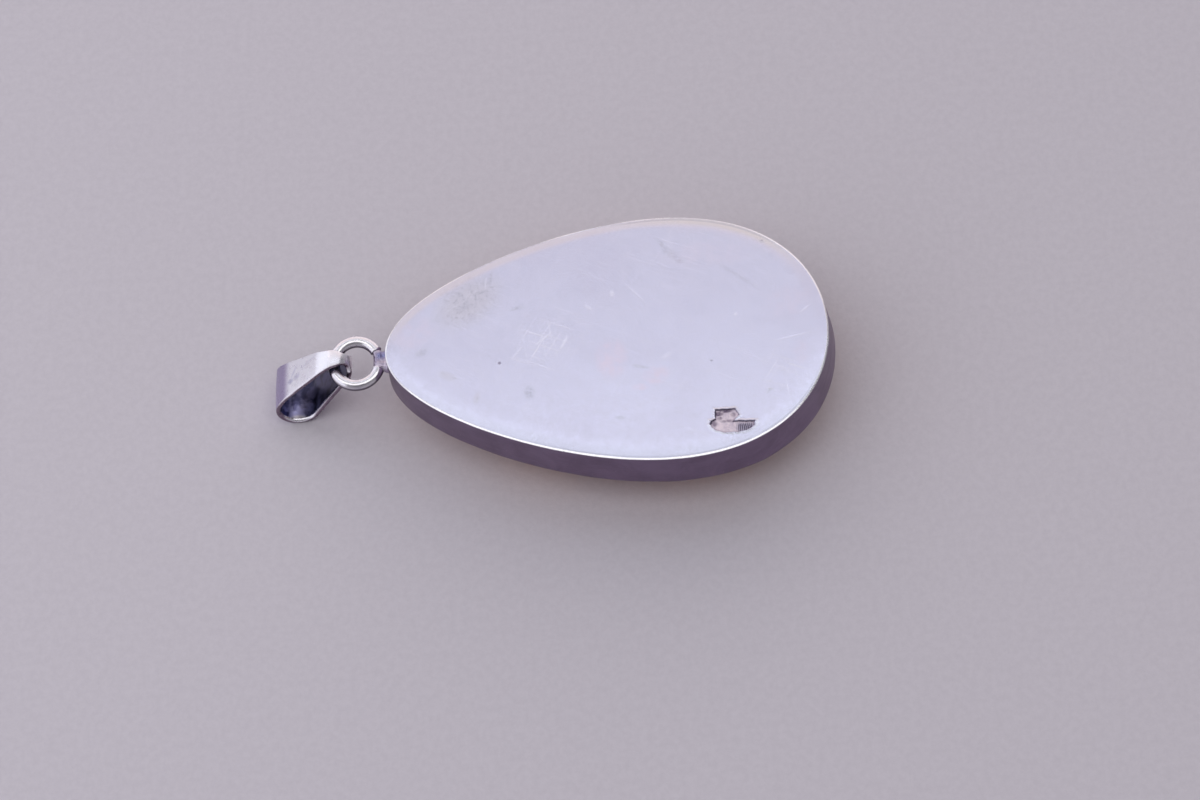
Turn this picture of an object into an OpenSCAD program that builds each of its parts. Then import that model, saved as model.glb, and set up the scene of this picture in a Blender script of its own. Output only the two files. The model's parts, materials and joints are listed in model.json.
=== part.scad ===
// A pear-shaped pendant lying face down: a closed silver setting around a domed
// amber stone, with a ring soldered to its narrow end and a tapered strap bail
// that hangs on the ring. The long axis lies along X with the ring towards -X,
// and the dome and the bail's wide end rest on z = 0.

/* [Setting] */
// Length of the flat back, from its narrow end to its round end
back_l = 37; // [32:0.5:42]
// Width that the flat back would have as a plain oval
back_w = 21.8; // [18:0.1:26]
// How strongly the width moves from the narrow end to the round end
pear_skew = 0.28; // [0.1:0.01:0.35]
// How much fuller both ends are than an oval's
pear_fullness = 0.03; // [0:0.01:0.06]
// Thickness of the back's sheet
back_t = 0.6; // [0.4:0.1:1]
// Thickness of the wall's sheet where it meets the back
wall_t = 0.5; // [0.4:0.05:0.7]
// Depth below the back at which the wall turns into the lip
wall_depth = 3.6; // [3:0.1:4.5]
// How far the wall stands out at that depth
wall_flare = 0.28; // [0:0.02:0.4]
// How far the wall leans towards the round end, for each millimetre of depth
wall_lean = 0.05; // [0:0.01:0.08]
// Radius of the rounded rim between the back and the wall
rim_r = 0.18; // [0.1:0.02:0.3]
// Height of the lip that is turned over the stone
lip_h = 0.65; // [0.4:0.05:0.8]
// How far the lip comes in over the stone
lip_reach = 0.68; // [0.6:0.02:0.8]

/* [Stone] */
// Height of the whole pendant, from the dome's top to the flat back
total_h = 8.4; // [7.5:0.1:9.5]
// Gap between the stone and the metal around it
stone_gap = 0.08; // [0.05:0.01:0.12]
// Depth below the back at which the dome begins
shoulder_depth = 3.5; // [3:0.1:4]
// Distance of the dome's top from the middle of the back, towards the round end
apex_x = 0.8; // [-1:0.1:2]

/* [Ring] */
// Radius of the ring at the middle of its wire
ring_r = 1.92; // [1.7:0.02:2.2]
// Diameter of the ring's wire
wire_d = 1.02; // [0.9:0.02:1.04]
// Distance of the ring's centre from the back's narrow end
ring_out = 2.62; // [2.4:0.02:3]
// Depth of the ring's centre below the back
ring_depth = 1.8; // [1.4:0.1:2.2]
// Lean of the ring, with its near side down
ring_lean = 8; // [0:1:10]
// Angle between the ring's two cut ends, which the solder fills
solder_angle = 42; // [30:1:60]
// Turn of that gap away from the long axis
solder_turn = 7; // [0:1:12]

/* [Bail] */
// Distance between the centres of the bail's two bends
bail_l = 6; // [5.5:0.1:7]
// Outer radius of the bend around the ring
bail_narrow_r = 1.4; // [1.36:0.02:1.5]
// Outer radius of the bend that the chain runs through
bail_wide_r = 1.96; // [1.7:0.02:2.2]
// Thickness of the bail's strap
strap_t = 0.45; // [0.35:0.01:0.46]
// Width of the strap at the ring
strap_narrow_w = 1.48; // [1.2:0.02:1.6]
// Width of the strap at the chain
strap_wide_w = 4.16; // [3.4:0.02:5]

/* [Punch marks] */
// Depth of the two shallow marks in the back
mark_depth = 0.12; // [0.05:0.01:0.2]
// Length and width of the square mark
square_mark = [1.9, 1.05];
// Length and width of the rounded mark
round_mark = [3.65, 1.2];

/* [Hidden] */

// Points around the outline, and steps along the rounded rim, the lip and the dome
outline_steps = 96;
rim_steps = 3;
lip_steps = 6;
dome_steps = 9;
// Share of the stone's outline that is left as a flat at the dome's top
apex_flat = 0.07;
dome_angle = acos(apex_flat);
// Rounded edges and round wire are true curves
$fn = 64;

wire_r = wire_d / 2;
ring_x = -back_l / 2 - ring_out;
ring_z = total_h - ring_depth;
// The bail swings about a point just inside the wire, because the ring curves away from it
swing_inset = 0.14;
swing_x = ring_x - ring_r + swing_inset;
// The bail hangs until its wide bend lies on z = 0
bail_drop = asin((ring_z - bail_wide_r) / bail_l);
bail_end_x = swing_x - bail_l * cos(bail_drop) - bail_wide_r;
round_end_x = back_l / 2 + wall_flare + wall_lean * wall_depth;
// Puts the middle of the whole length at x = 0
middle_x = -(bail_end_x + round_end_x) / 2;

// The solder in the ring's gap is thinner than the wire and reaches into both ends of it
solder_r = 0.44;
solder_lap = 4;
// A bead of solder and a short neck tie the ring to the wall
bead_r = 0.6;
neck_r = 0.5;
neck_l = 1.3;
// Thickness of the lip's edge, and how far its inner corner lies above the edge
lip_edge_t = 0.16;
lip_edge_h = 0.1;

// How far the ends of the bail's straight sides lie inside its bends
side_inset = 0.002;

// Centres of the two marks, from the middle of the back
square_mark_at = [9.75, -7.5];
round_mark_at = [10.2, -8.55];
// Height of the cutters, which reach past the back
mark_clear = 1;

// The pear outline: t runs from the narrow end, over +Y, to the round end and back.
// q is the place along the length, from -1 to 1.
function pear_q(t) = -cos(t);
function pear_swell(q) = 1 + pear_skew * q + pear_fullness * q * q;
function pear_point(t) = [back_l / 2 * pear_q(t), back_w / 2 * sin(t) * pear_swell(pear_q(t))];
function pear_tangent(t) = [
    back_l / 2 * sin(t),
    back_w / 2 * (cos(t) * pear_swell(pear_q(t))
        + sin(t) * sin(t) * (pear_skew + 2 * pear_fullness * pear_q(t)))
];
function pear_normal(t) = [-pear_tangent(t)[1], pear_tangent(t)[0]] / norm(pear_tangent(t));
function pear_outline(outset) = [
    for (i = [0 : outline_steps - 1])
        let (t = 360 * i / outline_steps)
        pear_point(t) + outset * pear_normal(t)
];

// One level of a loft: the outline, moved out by outset, at a depth below the back
function level(outset, depth) = [
    for (p = pear_outline(outset)) [p[0] + wall_lean * depth, p[1], total_h - depth]
];

// Joins levels of equal length into one solid, with a flat face at each end
module loft(levels) {
    n = len(levels[0]);
    last = len(levels) - 1;
    function corner(row, i) = row * n + i % n;
    sides = [
        for (row = [0 : last - 1], i = [0 : n - 1], half = [0, 1])
            half == 0
                ? [corner(row, i), corner(row + 1, i + 1), corner(row, i + 1)]
                : [corner(row, i), corner(row + 1, i), corner(row + 1, i + 1)]
    ];
    ends = [
        [for (i = [0 : n - 1]) corner(0, i)],
        [for (i = [n - 1 : -1 : 0]) corner(last, i)]
    ];
    polyhedron([for (l = levels) each l], concat(sides, ends), convexity = 6);
}

// Rows of the cup's section, each [outset, depth], from the flat back down the outside,
// round the lip and up the inside to the inner face of the back
function rim_rows() = [
    for (i = [0 : rim_steps])
        let (a = 90 * i / rim_steps)
        [rim_r * (sin(a) - 1), rim_r * (1 - cos(a))]
];
function lip_rows() = [
    for (i = [0 : lip_steps])
        let (a = 90 * i / lip_steps)
        [wall_flare - lip_reach * (1 - cos(a)), wall_depth + lip_h * sin(a)]
];
function inside_rows() = [
    [wall_flare - lip_reach - lip_edge_t, wall_depth + lip_h - lip_edge_h],
    [-wall_t, wall_depth],
    [-wall_t, back_t]
];

module cup() {
    loft([for (row = concat(rim_rows(), lip_rows(), inside_rows())) level(row[0], row[1])]);
}

module punch_marks() {
    translate([square_mark_at[0], square_mark_at[1], total_h - mark_depth])
        linear_extrude(mark_clear) square(square_mark, center = true);
    end_r = round_mark[1] / 2;
    translate([round_mark_at[0], round_mark_at[1], total_h - mark_depth]) {
        linear_extrude(mark_clear)
            square([round_mark[0] - 2 * end_r, round_mark[1]], center = true);
        for (side = [-1, 1])
            translate([side * (round_mark[0] / 2 - end_r), 0, 0])
                cylinder(r = end_r, h = mark_clear);
    }
}

// A stretch of the ring: round wire between two angles from the long axis
module ring_arc(from, to, r) {
    translate([ring_x, 0, ring_z]) rotate([ring_lean, 0, from])
        rotate_extrude(angle = to - from) translate([ring_r, 0]) circle(r = r);
}

module ring() {
    ring_arc(solder_turn + solder_angle / 2, solder_turn - solder_angle / 2 + 360, wire_r);
}

module solder() {
    half = solder_angle / 2 + solder_lap;
    ring_arc(solder_turn - half, solder_turn + half, solder_r);
    translate([ring_x + ring_r, 0, ring_z]) {
        sphere(r = bead_r);
        rotate([0, 90, 0]) cylinder(r = neck_r, h = neck_l);
    }
}

module setting() {
    color("silver") translate([middle_x, 0, 0]) {
        difference() {
            cup();
            punch_marks();
        }
        ring();
        solder();
    }
}

// A level of the dome, drawn in towards the apex as the angle a goes from 0 to dome_angle
function dome_level(a) = [
    for (p = level(-wall_t - stone_gap, shoulder_depth))
        [
            apex_x + (p[0] - apex_x) * cos(a),
            p[1] * cos(a),
            (total_h - shoulder_depth) * (1 - sin(a) / sin(dome_angle))
        ]
];

module amber_cabochon() {
    base = level(-wall_t - stone_gap, back_t + stone_gap);
    dome = [for (i = [0 : dome_steps]) dome_level(dome_angle * i / dome_steps)];
    color("darkorange") translate([middle_x, 0, 0]) loft(concat([base], dome));
}

// The bail's side outline: two bends joined by their common tangents. The straight
// sides start a hair inside the bends, so that the curves cross instead of touching.
module teardrop(narrow_r, wide_r) {
    slope = asin((wide_r - narrow_r) / bail_l);
    tangent = [-sin(slope), cos(slope)];
    near = (narrow_r - side_inset) * tangent;
    far = [bail_l, 0] + (wide_r - side_inset) * tangent;
    circle(r = narrow_r);
    translate([bail_l, 0]) circle(r = wide_r);
    polygon([[near[0], -near[1]], [far[0], -far[1]], far, near]);
}

module strap_loop() {
    rotate([90, 0, 0]) linear_extrude(2 * strap_wide_w, center = true)
        difference() {
            teardrop(bail_narrow_r, bail_wide_r);
            teardrop(bail_narrow_r - strap_t, bail_wide_r - strap_t);
        }
}

// The strap seen from above, narrow at the ring and wide at the chain
module strap_taper() {
    reach = 1;
    growth = (strap_wide_w - strap_narrow_w) / (bail_narrow_r + bail_l + bail_wide_r) / 2;
    near_x = -bail_narrow_r - reach;
    far_x = bail_l + bail_wide_r + reach;
    near_y = strap_narrow_w / 2 - growth * reach;
    far_y = strap_wide_w / 2 + growth * reach;
    linear_extrude(4 * bail_wide_r, center = true)
        polygon([[near_x, -near_y], [far_x, -far_y], [far_x, far_y], [near_x, near_y]]);
}

module bail() {
    color("silver") translate([middle_x + swing_x, 0, ring_z]) rotate([0, 180 - bail_drop, 0])
        intersection() {
            strap_loop();
            strap_taper();
        }
}

setting();
amber_cabochon();
bail();
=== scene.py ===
import json
from collections import namedtuple
from math import acos, asin, atan, cos, exp, pi, radians, sin, sqrt, tan
from types import SimpleNamespace

import bmesh
import bpy
import numpy as np
from mathutils import Matrix, Vector, noise
from mathutils.geometry import delaunay_2d_cdt


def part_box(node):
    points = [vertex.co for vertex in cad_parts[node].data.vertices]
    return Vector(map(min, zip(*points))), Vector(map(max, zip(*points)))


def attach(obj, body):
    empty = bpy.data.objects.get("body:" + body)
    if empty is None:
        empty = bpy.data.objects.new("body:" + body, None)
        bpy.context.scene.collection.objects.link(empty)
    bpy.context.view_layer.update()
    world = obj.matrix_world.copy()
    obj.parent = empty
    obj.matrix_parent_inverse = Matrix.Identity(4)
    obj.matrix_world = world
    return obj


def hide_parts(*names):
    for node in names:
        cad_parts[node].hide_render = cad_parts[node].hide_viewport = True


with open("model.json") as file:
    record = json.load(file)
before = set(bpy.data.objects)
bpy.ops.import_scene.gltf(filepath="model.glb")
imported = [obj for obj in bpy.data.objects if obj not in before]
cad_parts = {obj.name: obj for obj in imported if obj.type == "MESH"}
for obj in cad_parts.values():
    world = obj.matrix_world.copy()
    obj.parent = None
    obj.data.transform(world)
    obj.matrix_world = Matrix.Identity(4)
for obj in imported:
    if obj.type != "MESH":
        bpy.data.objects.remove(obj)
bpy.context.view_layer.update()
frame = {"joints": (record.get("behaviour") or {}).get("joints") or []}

# A pear-shaped silver pendant that lies face down on a pale floor, with its ring and its bail.
# Lengths are millimetres in the frame's axes. A finished mesh is scaled to metres.
MM = 0.001
_, SETTING_HIGH = np.array(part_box("setting")) / MM
BAIL_LOW, BAIL_HIGH = np.array(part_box("bail")) / MM

# Smooth unevenness: its height, its fineness in waves per millimetre, a seed and a stretch
Waves = namedtuple("Waves", "height fineness seed stretch", defaults=[(1, 1, 1)])
SEED_SHIFTS = (1, 2.3, 0.7)

# The flat back and its pear outline
BACK_Z = SETTING_HIGH[2]
BACK_L = 37.0
BACK_W = 21.8
PEAR_SKEW = 0.28
PEAR_FULLNESS = 0.03
BACK_T = 0.6
BACK_WAVES = (Waves(0.012, 0.16, 1.7), Waves(0.004, 0.6, 4.2))
# How far the waves are sunk into the back, against their height
WAVES_SUNK = 0.6

# The wall, with waves that are drawn out over its height and come on between two depths
WALL_T = 0.5
WALL_DEPTH = 3.6
WALL_FLARE = 0.28
WALL_LEAN = 0.05
WALL_ROWS = 13
WALL_WAVES = Waves(0.025, 0.35, 8.4, (1, 1, 0.6))
WALL_WAVES_COME = (0.3, 1.5)
MIDDLE_X = SETTING_HIGH[0] - BACK_L / 2 - WALL_FLARE - WALL_LEAN * WALL_DEPTH

# The lip that is turned over the stone, pressed down unevenly along its length
LIP_H = 0.65
LIP_REACH = 0.68
LIP_EDGE_T = 0.16
LIP_EDGE_H = 0.1
LIP_ROWS = 15
LIP_WAVES = Waves(0.05, 0.55, 2.9, (1, 1, 0))

# The back rolls down before its rim, wide and soft on the near side, narrow on the far side
ROLL_DROP = 0.06
ROLL_NEAR_W = 1.5
ROLL_NEAR_BEND = 2.0
ROLL_FAR_W = 0.66
ROLL_ROUND_END_W = 1.0
ROLL_FAR_BEND = 1.15
# Where the roll changes, across the back and towards its round end
NEAR_TO_FAR = (-3, 3)
TO_ROUND_END = (2, 9)

# The rim is burnished to a narrow bevel, widest on the near side towards the round end
BEVEL_W = 0.16
BEVEL_TILT = radians(21)
BEVEL_SOFT = 0.03
BEVEL_SOFT_SHARES = (0.25, 0.5, 0.75)
BEVEL_ROWS = 4
BEVEL_WIDEST = radians(250)
BEVEL_CHANGE = 0.2
BEVEL_WAVES = Waves(0.25, 0.28, 5.3)
RIM_ROWS = 6
# Nicks in the rim: their strength on the far side, where they grow, and how deep they reach
RIM_NICKS = Waves(0.009, 0.9, 6.1)
NICKS_FAR = 0.2
NICKS_CHANGE = (2, -4)
NICKS_DEPTH = 0.5

# The stone
STONE_GAP = 0.08
SHOULDER_DEPTH = 3.5
GIRDLE_H = 1.0
APEX_X = 0.8
APEX_FLAT = 0.07
STONE_AROUND = 256
DOME_ROWS = 40
STONE_WAVES = Waves(0.05, 0.3, 9.3)

# The ring, whose cut ends are softened over a short length
RING_R = 1.92
WIRE_R = 0.51
RING_X = MIDDLE_X - BACK_L / 2 - 2.62
RING_Z = BACK_Z - 1.8
RING_LEAN = radians(8)
WIRE_SIDES = 32
WIRE_ROWS = 120
WIRE_WAVES = Waves(0.008, 0.9, 0.0)
WIRE_END_L = 0.14
WIRE_END_ROUND = 0.8
WIRE_END_ROWS = 5

# The solder, melted from drops along the ring's gap and in rows across its neck to the wall
SOLDER_TURN = radians(7)
SOLDER_HALF = radians(21)
GAP_REACH = 1.12
GAP_DROPS = 13
GAP_DROP_R = 0.43
GAP_LUMP_H = 0.03
GAP_LUMPS = 5
# How far out each row lies on the neck, and the radius of its drops
NECK_DROPS = [(0.0, 0.52), (0.22, 0.5), (0.42, 0.5), (0.62, 0.56), (0.85, 0.62)]
NECK_ACROSS = (-0.28, 0.06, 0.4)
NECK_SPREAD = 0.4
NECK_SINK = 0.05
NECK_SLOPE = 0.1
DROP_DETAIL = 3
MELT_VOXEL = 0.06
MELT_SMOOTH = 0.6
MELT_ROUNDS = 5

# The bail, a strap bent round the ring and round the chain's opening
SWING = np.array(frame["joints"][0]["pos_m"]) / MM
BAIL_L = 6.0
NARROW_R = 1.4
WIDE_R = 1.96
STRAP_T = 0.45
BAIL_DROP = asin((RING_Z - WIDE_R) / BAIL_L)
# A wider arc eases the strap's upper side into each bend: its radius and how far it turns
Ease = namedtuple("Ease", "radius turn")
NARROW_EASE = Ease(4.0, radians(20))
WIDE_EASE = Ease(6.0, radians(18))
# Stations along the easing arcs, the two bends and the two sides
EASE_STEPS = 9
NARROW_STEPS = 40
WIDE_STEPS = 64
LOWER_STEPS = 30
UPPER_STEPS = 26

# The strap's section, with the radius of its inner corners at the ring and at the chain
NARROW_W = 1.48
WIDE_W = BAIL_HIGH[1] - BAIL_LOW[1]
STRAP_CROWN = 0.05
STRAP_OUTER_R = 0.13
STRAP_INNER_R = (0.13, 0.3)
# Points across a face, and round an outer and an inner corner
FACE_POINTS = 15
OUTER_POINTS = 5
INNER_POINTS = 8
# At shares of the strap's length: how much wider than an even taper its near and far halves are
STRAP_WIDTHS = [
    (0.0, 0.0, -0.08), (0.05, 0.05, -0.08), (0.12, 0.14, -0.06), (0.21, 0.18, 0.0),
    (0.37, 0.15, 0.03), (0.53, 0.08, 0.06), (0.77, 0.05, 0.12), (1.0, 0.0, 0.16),
]
# How much narrower each half is on the bend over the ring, and the turns at its start and end
TIP_NEAR = 0.25
TIP_FAR = 0.2
TIP_START = (0.8, 1.8)
TIP_END = (1.9, 2.6)
# How much wider the far half is on the lower side near the chain, between which turns a side
# counts as lower, and where along the strap the extra width comes on
LOWER_FAR = 0.42
LOWER_TURN = (2, 3)
LOWER_COMES = (2.2, 4.2)

# Two punch marks, from the back's middle: a pointed square, and half an oval with a round end
MARK_DEPTH = 0.11
MARK_WALL = 0.07
MARK_RAGGED = (Waves(0.05, 4.0, 0.0), Waves(0.035, 11.0, 1.5))
MARK_ROUGH = (Waves(0.02, 5.0, 3.1), Waves(0.01, 16.0, 5.7))
BURR_H = 0.02
BURR_W = 0.12
SQUARE_MARK = SimpleNamespace(
    x=9.84, y=-7.65, half_l=1.02, half_w=0.61, tip_x=10.82, far_slant=0.45, near_slant=1.0
)
ROUND_MARK = SimpleNamespace(x=10.27, half_l=1.86, depth=1.06, blunt=2.5, top_y=-8.13, top_slope=0.05)
ROUND_MARK_END = SimpleNamespace(x=8.95, y=-8.38, r=0.5)
# Fine ridges across the pointed half of the oval, and how far they stand above its floor
RIDGES = SimpleNamespace(
    from_x=10.68, to_x=12.0, from_y=-8.2, pitch=0.17, slant=-0.15, height=0.03, lift=0.3
)
RIDGE_BEND = Waves(0.03, 2.5, 7.7)
# The patch of fine points that holds both marks
MARKS_X = (7.8, 12.6)
MARKS_Y = (-9.8, -6.5)

# How far inside a mark its floor shows, how low in the ridges' waves a groove, and how dark
FLOOR_SHOWS = (0.02, 0.06)
GROOVE_SHOWS = (0.3, -0.6)
GROOVE_DARK = 0.8
# Lines along an outline: their distance outwards and half their width
MARK_LINE = (-0.035, 0.065)
MARK_BURR = (0.08, 0.07)
RIM_CREASE = (0.09, 0.06)
# The painted shade on the marks' outline is strongest where their wall faces this way
LINE_FACES = (-0.45, 0.9)
LINE_SHARE = 0.65
LINE_CHANGE = 0.5
LINE_LEAST = 0.5
SLOPE_STEP = 0.02
# Where the painted shade in the rim's crease and the painted warm reflection on the far rim show, as
# fades along x or y from none to full
CREASE_NEAR = [("x", -10, -2), ("y", -2, -7)]
CREASE_FAR = [("x", 0, 3), ("x", 16, 12), ("y", 4, 7)]
WARM_REFLECTION_FAR = [("y", 0, 3), ("x", 17, 13)]
WARM_REFLECTION_STRONGER = [("x", 0, 8)]
WARM_REFLECTION_LEAST = 0.3
WARM_REFLECTION_W = (0.75, 0.3)

# Points round the outline, and the spacing of the points that fill the back
AROUND = 720
COARSE = 0.5
FINE = 0.038
# Distances from the bevel of the rows of points that follow it
ROWS = (0.0, 0.05, 0.1, 0.16, 0.24, 0.34, 0.47, 0.62, 0.8, 1.0)
# Points closer than this are one point, in the flat fill and in a finished mesh
SAME_IN_FILL = 1e-5
SAME_IN_MESH = 1e-4
# The fill keeps only what lies inside its loop
KEEP_INSIDE = 1
# Edges that turn more than this many degrees look sharp
SHARP = 35

# Places of materials on the setting
BACK, RIM, WALL, WIRE, SOLDER = range(5)
# Places of materials on the bail
OUTSIDE, EDGE, INSIDE = range(3)


def smoothstep(low, high, x):
    s = np.clip((x - low) / (high - low), 0, 1)
    return s * s * (3 - 2 * s)


def waves(points, *kinds):
    """Smooth noise at each point, summed over the kinds of waves."""
    total = 0
    for kind in kinds:
        shift = Vector([kind.seed * s for s in SEED_SHIFTS])
        places = np.array(points) * kind.stretch
        heights = [noise.noise(Vector(p) * kind.fineness + shift) for p in places]
        total = total + kind.height * np.array(heights)
    return total


def pear(t):
    """Points of the outline at the angles t, and the directions out of it."""
    q = -np.cos(t)
    swell = 1 + PEAR_SKEW * q + PEAR_FULLNESS * q * q
    points = np.stack([BACK_L / 2 * q, BACK_W / 2 * np.sin(t) * swell], 1)
    dx = BACK_L / 2 * np.sin(t)
    slope = PEAR_SKEW + 2 * PEAR_FULLNESS * q
    dy = BACK_W / 2 * (np.cos(t) * swell + np.sin(t) ** 2 * slope)
    normals = np.stack([-dy, dx], 1) / np.hypot(dx, dy)[:, None]
    return points, normals


def turns(count):
    return np.arange(count) / count * 2 * pi


OUTLINE, OUTWARD = pear(turns(AROUND))


def level(outset, depth, count=AROUND):
    """The outline moved out by outset, at a depth below the back."""
    points, normals = pear(turns(count))
    flat = points + np.broadcast_to(outset, count)[:, None] * normals
    z = np.broadcast_to(BACK_Z - depth, count)
    return np.column_stack([flat[:, 0] + MIDDLE_X + WALL_LEAN * depth, flat[:, 1], z])


def strip_faces(rows, count, closed=False):
    """Four-sided faces between rows of count points, closed round every row."""
    faces = []
    for row in range(rows if closed else rows - 1):
        here, after = row * count, (row + 1) % rows * count
        for i in range(count):
            j = (i + 1) % count
            faces.append((here + i, here + j, after + j, after + i))
    return faces


def make_mesh(name, points, faces, kinds=None):
    """A mesh in millimetres. kinds holds each face's place in the list of materials."""
    mesh = bpy.data.meshes.new(name)
    mesh.from_pydata([tuple(p) for p in points], [], faces)
    if kinds is not None:
        mesh.polygons.foreach_set("material_index", kinds)
    bm = bmesh.new()
    bm.from_mesh(mesh)
    bmesh.ops.remove_doubles(bm, verts=bm.verts, dist=SAME_IN_MESH)
    bmesh.ops.recalc_face_normals(bm, faces=bm.faces)
    bm.to_mesh(mesh)
    bm.free()
    return mesh


def make_object(name, data):
    made = bpy.data.objects.new(name, data)
    bpy.context.scene.collection.objects.link(made)
    return made


def settled(made, name):
    """The object's mesh with its modifiers applied. The object goes."""
    graph = bpy.context.evaluated_depsgraph_get()
    graph.update()
    mesh = bpy.data.meshes.new_from_object(made.evaluated_get(graph))
    mesh.name = name
    bpy.data.objects.remove(made)
    return mesh


def fused(name, materials, meshes):
    """One closed mesh of several that run into each other."""
    for mesh in meshes:
        for material in materials:
            mesh.materials.append(material)
    made = make_object(name, meshes[0])
    helpers = [make_object(other.name, other) for other in meshes[1:]]
    for helper in helpers:
        cut = made.modifiers.new("fuse", "BOOLEAN")
        cut.operation = "UNION"
        cut.solver = "EXACT"
        cut.object = helper
    mesh = settled(made, name)
    for helper in helpers:
        bpy.data.objects.remove(helper)
    return mesh


def piece(mesh, body, node):
    """A finished piece in metres, named like its mesh, that stands for one node of the frame."""
    mesh.transform(Matrix.Scale(MM, 4))
    mesh.shade_smooth()
    mesh.set_sharp_from_angle(angle=radians(SHARP))
    made = make_object(mesh.name, mesh)
    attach(made, body)
    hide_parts(node)


# Shapes of the setting


def flat_waves(x, y, *kinds):
    return waves(np.column_stack([x, y, 0 * x]), *kinds)


def square_mark_distance(x, y):
    """Distance from the square mark's outline, less than 0 inside it."""
    m = SQUARE_MARK
    box = np.maximum(np.abs(x - m.x) - m.half_l, np.abs(y - m.y) - m.half_w)
    cut = np.where(y > m.y, m.far_slant, m.near_slant)
    point = (x + cut * np.abs(y - m.y) - m.tip_x) / np.hypot(1, cut)
    return np.maximum(box, point)


def round_mark_distance(x, y):
    """Distance from the round mark's outline, less than 0 inside it."""
    m, end = ROUND_MARK, ROUND_MARK_END
    u, v = (x - m.x) / m.half_l, (y - m.top_y) / m.depth
    blunt = m.blunt
    oval = ((np.abs(u) ** blunt + np.abs(v) ** blunt) ** (1 / blunt) - 1) * m.depth
    below = y - m.top_y + m.top_slope * (x - m.x)
    return np.minimum(np.maximum(oval, below), np.hypot(x - end.x, y - end.y) - end.r)


def mark_distance(x, y):
    """Distance from both marks together, with a ragged outline."""
    ragged = flat_waves(x, y, *MARK_RAGGED)
    return np.minimum(square_mark_distance(x, y), round_mark_distance(x, y)) + ragged


def near_marks(x, y):
    across = (x > MARKS_X[0]) & (x < MARKS_X[1])
    return across & (y > MARKS_Y[0]) & (y < MARKS_Y[1])


def ridge_wave(x, y):
    """The waves of the fine ridges, from -1 to 1, and how much of them shows."""
    r = RIDGES
    soft = r.pitch
    bend = flat_waves(x, y, RIDGE_BEND)
    wave = np.sin(2 * pi * (x + r.slant * y + bend) / r.pitch)
    starts = smoothstep(r.from_x - 2 * soft, r.from_x + soft, x)
    ends = smoothstep(r.to_x, r.to_x - soft, x)
    below = smoothstep(r.from_y, r.from_y - 2 * soft, y)
    return wave, starts * ends * below


def mark_relief(x, y):
    """Height of the back around and in the marks."""
    d = mark_distance(x, y)
    floor = smoothstep(0, MARK_WALL, -d)
    rough = flat_waves(x, y, *MARK_ROUGH)
    wave, shown = ridge_wave(x, y)
    ridges = RIDGES.height * shown * (RIDGES.lift + wave)
    burr = BURR_H * np.exp(-((np.maximum(d, 0) / BURR_W) ** 2)) * (1 - floor)
    return burr + floor * (rough + ridges - MARK_DEPTH)


def rim_distance(x, y):
    """Distance from the bevel, for points of the flat back."""
    found = np.full(len(x), np.inf)
    for ex, ey in OUTLINE:
        found = np.minimum(found, np.hypot(x - ex, y - ey))
    return found - BEVEL_W


def back_relief(x, y):
    """Height of the back against its highest plane: long waves, roll and marks."""
    sunk = WAVES_SUNK * sum(kind.height for kind in BACK_WAVES)
    far = smoothstep(*NEAR_TO_FAR, y)
    far_width = ROLL_FAR_W + (ROLL_ROUND_END_W - ROLL_FAR_W) * smoothstep(*TO_ROUND_END, x)
    width = ROLL_NEAR_W + (far_width - ROLL_NEAR_W) * far
    bend = ROLL_NEAR_BEND + (ROLL_FAR_BEND - ROLL_NEAR_BEND) * far
    roll = np.clip(1 - rim_distance(x, y) / width, 0, 1) ** bend
    relief = flat_waves(x, y, *BACK_WAVES) - sunk - ROLL_DROP * roll
    near = near_marks(x, y)
    relief[near] += mark_relief(x[near], y[near])
    return relief


def bevel_share():
    """How wide the bevel is round the outline, against its usual width."""
    from_widest = turns(AROUND) - BEVEL_WIDEST
    uneven = flat_waves(*OUTLINE.T, BEVEL_WAVES)
    return 1 + BEVEL_CHANGE * (np.cos(from_widest) - 0.5) + uneven


def grid(x_range, y_range, step):
    """Points a step apart, every other row moved by half a step."""
    x, y = np.meshgrid(np.arange(*x_range, step), np.arange(*y_range, step))
    moved = x + step / 2 * (np.arange(len(x)) % 2)[:, None]
    return np.column_stack([moved.ravel(), y.ravel()])


def back_points():
    """The back's edge, and its points: rows along the rim, a coarse fill and a fine patch."""
    width = BEVEL_W * bevel_share()[:, None]
    rows = [OUTLINE - (width + apart) * OUTWARD for apart in ROWS]
    band = np.concatenate(rows[1:])
    half = BACK_L / 2
    coarse = grid((-half, half), (-half, half), COARSE)
    fine = grid(MARKS_X, MARKS_Y, FINE)
    band = band[~near_marks(*band.T)]
    coarse = coarse[~near_marks(*coarse.T) & inside(coarse, BEVEL_W + ROWS[-1] + COARSE / 3)]
    return rows[0], np.concatenate([band, coarse, fine[inside(fine, 2 * BEVEL_W)]])


def inside(points, margin):
    """Which points lie inside the outline by more than the margin."""
    kept = np.ones(len(points), bool)
    for p, n in zip(OUTLINE, OUTWARD):
        kept &= (points - p) @ n < -margin
    return kept


def back_surface():
    edge, fill = back_points()
    flat = [Vector(p) for p in np.concatenate([edge, fill])]
    loop = [list(range(len(edge)))]
    found, _, faces, *_ = delaunay_2d_cdt(flat, [], loop, KEEP_INSIDE, SAME_IN_FILL)
    x, y = np.array(found).T
    z = BACK_Z + back_relief(x, y)
    return np.column_stack([x + MIDDLE_X, y, z]), [tuple(f) for f in faces]


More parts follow.
